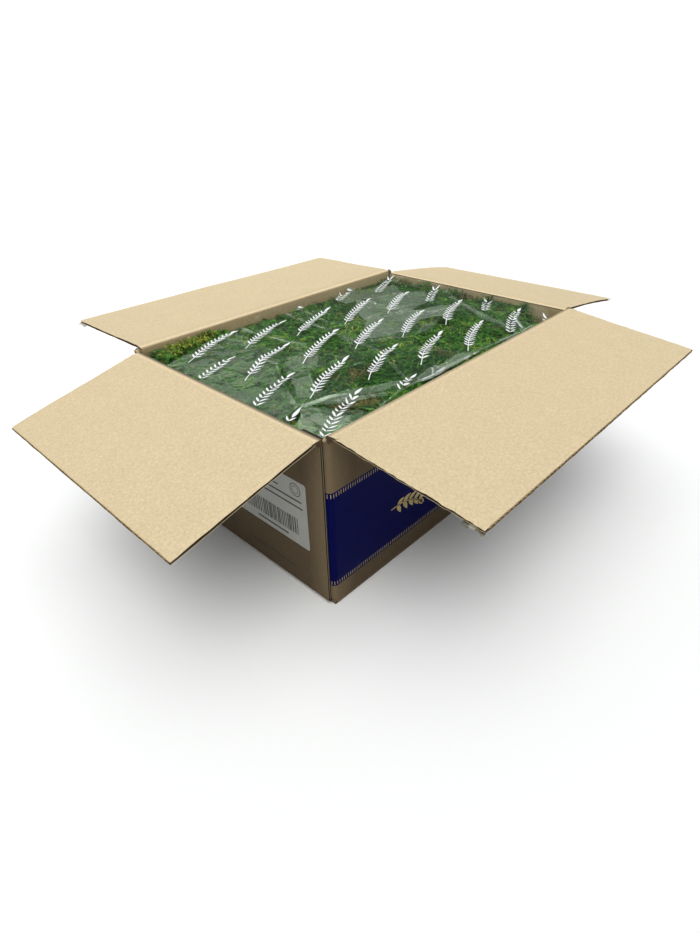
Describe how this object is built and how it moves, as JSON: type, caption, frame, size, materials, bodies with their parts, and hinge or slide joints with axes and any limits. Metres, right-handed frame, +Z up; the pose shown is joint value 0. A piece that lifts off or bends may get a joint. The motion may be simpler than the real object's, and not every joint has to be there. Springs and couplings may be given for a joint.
{
  "type": "sheet moss packed in an open carton",
  "caption": "Layers of green sheet moss packed in an open corrugated carton under clear film, its four top flaps turned out on their creases.",
  "frame": {"origin": "middle of the carton's base, on the floor", "axes": "+X along the carton's long side, away from the labelled end; front wall with the blue band faces -Y; +Z up"},
  "size_m": [0.9604, 0.7886, 0.2565],
  "materials": {
    "kraft_board": "matte",
    "label_paper": "satin",
    "packing_tape": "gloss",
    "film": "gloss",
    "green_moss": "matte",
    "dried_moss": "matte"
  },
  "bodies": {
    "carton": {"carton_walls": "kraft_board", "bottom_flap_front": "kraft_board", "bottom_flap_back": "kraft_board", "bottom_flap_left": "kraft_board", "bottom_flap_right": "kraft_board", "shipping_label": "label_paper", "lower_mat_1": "dried_moss", "lower_mat_2": "dried_moss", "lower_mat_3": "dried_moss", "lower_mat_4": "dried_moss", "lower_mat_5": "dried_moss", "lower_mat_6": "dried_moss", "lower_mat_7": "dried_moss", "lower_mat_8": "dried_moss", "top_mat_1": "green_moss", "top_mat_2": "dried_moss", "top_mat_3": "green_moss", "top_mat_4": "green_moss", "top_mat_5": "dried_moss", "top_mat_6": "green_moss", "top_mat_7": "green_moss", "top_mat_8": "dried_moss", "clear_film": "film"},
    "front_flap": {"front_flap": "kraft_board", "front_flap_tape": "packing_tape"},
    "back_flap": {"back_flap": "kraft_board", "back_flap_tape": "packing_tape"},
    "left_flap": {"left_flap": "kraft_board"},
    "right_flap": {"right_flap": "kraft_board"}
  },
  "joints": [
    {"name": "front_flap_crease", "type": "hinge", "parent": "carton", "child": "front_flap", "pos_m": [0, -0.1978, 0.2544], "axis": [-1, 0, 0], "range_deg": [-68.5, 186.5]},
    {"name": "back_flap_crease", "type": "hinge", "parent": "carton", "child": "back_flap", "pos_m": [0, 0.1978, 0.2544], "axis": [1, 0, 0], "range_deg": [-73.94, 181.06]},
    {"name": "left_flap_crease", "type": "hinge", "parent": "carton", "child": "left_flap", "pos_m": [-0.2868, 0, 0.2496], "axis": [0, 1, 0], "range_deg": [-61.8, 193.2]},
    {"name": "right_flap_crease", "type": "hinge", "parent": "carton", "child": "right_flap", "pos_m": [0.2868, 0, 0.2496], "axis": [0, -1, 0], "range_deg": [-66.8, 188.2]}
  ]
}
